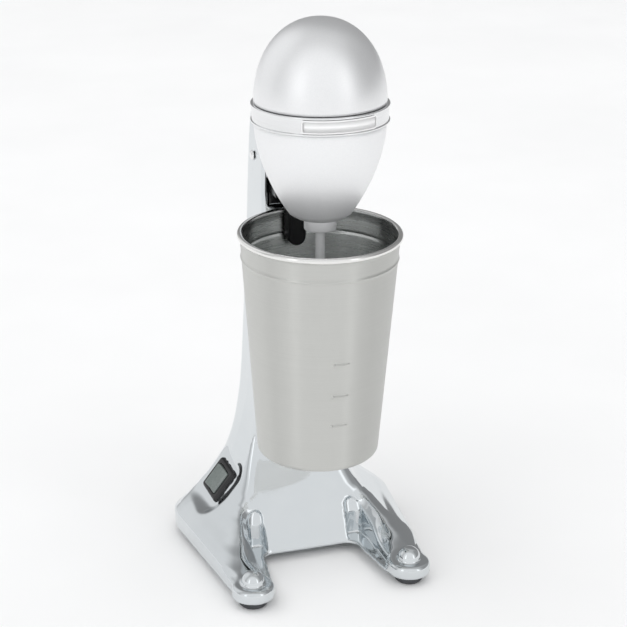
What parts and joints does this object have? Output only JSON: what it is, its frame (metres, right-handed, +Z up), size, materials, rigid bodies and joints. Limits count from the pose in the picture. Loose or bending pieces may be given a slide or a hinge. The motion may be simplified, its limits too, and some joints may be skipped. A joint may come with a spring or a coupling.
{
  "type": "milkshake mixer",
  "caption": "Bar drinks mixer: chromed cast stand with a tilting egg-shaped motor head, black cup hanger, direct-drive spindle and a tall steel mixing cup.",
  "frame": {"origin": "centre of the whole object's footprint, on the plane the rubber feet stand on", "axes": "+Z up, -Y towards the front, where the two toes and the cup are, +X to the right as seen from the front. The spindle axis is X = 0, Y = -28.25 mm."},
  "size_m": [0.132, 0.146, 0.3216],
  "materials": {
    "chrome": "mirror polished",
    "satin_silver": "satin silver lacquer",
    "polished_trim": "polished",
    "cup_steel": "fine brushed, polished rim",
    "steel": "smooth",
    "black_plastic": "gloss",
    "rocker_plastic": "semi matt",
    "rubber": "matt",
    "pale_plate": "smooth, unprinted",
    "iron": "plain",
    "copper": "plain",
    "carbon": "matt",
    "white_plastic": "matt"
  },
  "bodies": {
    "base": {"stand_casting": "chrome", "bottom_cover": "black_plastic", "cover_screw_1": "iron", "cover_screw_2": "iron", "cover_screw_3": "iron", "cover_screw_4": "iron", "front_foot_left": "rubber", "front_foot_right": "rubber", "rear_foot_left": "rubber", "rear_foot_right": "rubber", "cord_inlet_bush": "black_plastic", "terminal_block": "white_plastic", "suppression_capacitor": "black_plastic", "switch_bezel": "black_plastic", "switch_body": "black_plastic", "hinge_pin": "polished_trim", "hinge_pin_clip": "steel", "hinge_washer_left": "white_plastic", "hinge_washer_right": "white_plastic"},
    "rocker": {"switch_rocker": "rocker_plastic"},
    "head": {"head_lower_shell": "satin_silver", "head_upper_shell": "satin_silver", "head_band": "polished_trim", "nameplate": "pale_plate", "head_arm": "satin_silver", "arm_screw_1": "iron", "arm_screw_2": "iron", "cup_hanger": "black_plastic", "hanger_screw_1": "iron", "hanger_screw_2": "iron", "spindle_collar": "satin_silver", "shaft_seal": "rubber", "lower_bearing_bracket": "iron", "lower_bearing": "steel", "upper_bearing_bracket": "iron", "upper_bearing": "steel", "stator_core": "iron", "field_coil_left": "copper", "field_coil_right": "copper", "carbon_brush_left": "carbon", "carbon_brush_right": "carbon", "brush_holder_left": "black_plastic", "brush_holder_right": "black_plastic", "motor_stud_front": "steel", "motor_stud_rear": "steel"},
    "rotor": {"motor_shaft": "steel", "armature_core": "iron", "commutator": "copper", "cooling_fan": "black_plastic", "spindle_coupling": "steel", "spindle": "steel", "agitator": "steel", "agitator_nut": "steel"},
    "cup": {"mixing_cup": "cup_steel"}
  },
  "joints": [
    {"name": "head_tilt", "type": "hinge", "parent": "base", "child": "head", "pos_m": [0, 0.03975, 0.232], "axis": [-1, 0, 0], "range_deg": [0, 45]},
    {"name": "spindle_spin", "type": "hinge", "parent": "head", "child": "rotor", "pos_m": [0, -0.02825, 0.25], "axis": [0, 0, 1], "continuous": true},
    {"name": "cup_lift", "type": "slide", "parent": "head", "child": "cup", "axis": [0, -0.03, 0.9995], "range_m": [0, 0.006]},
    {"name": "switch_rock", "type": "hinge", "parent": "base", "child": "rocker", "pos_m": [-0.0406, 0.03875, 0.035], "axis": [-0.5741, 0.1022, -0.8123], "range_deg": [0, 16]}
  ]
}
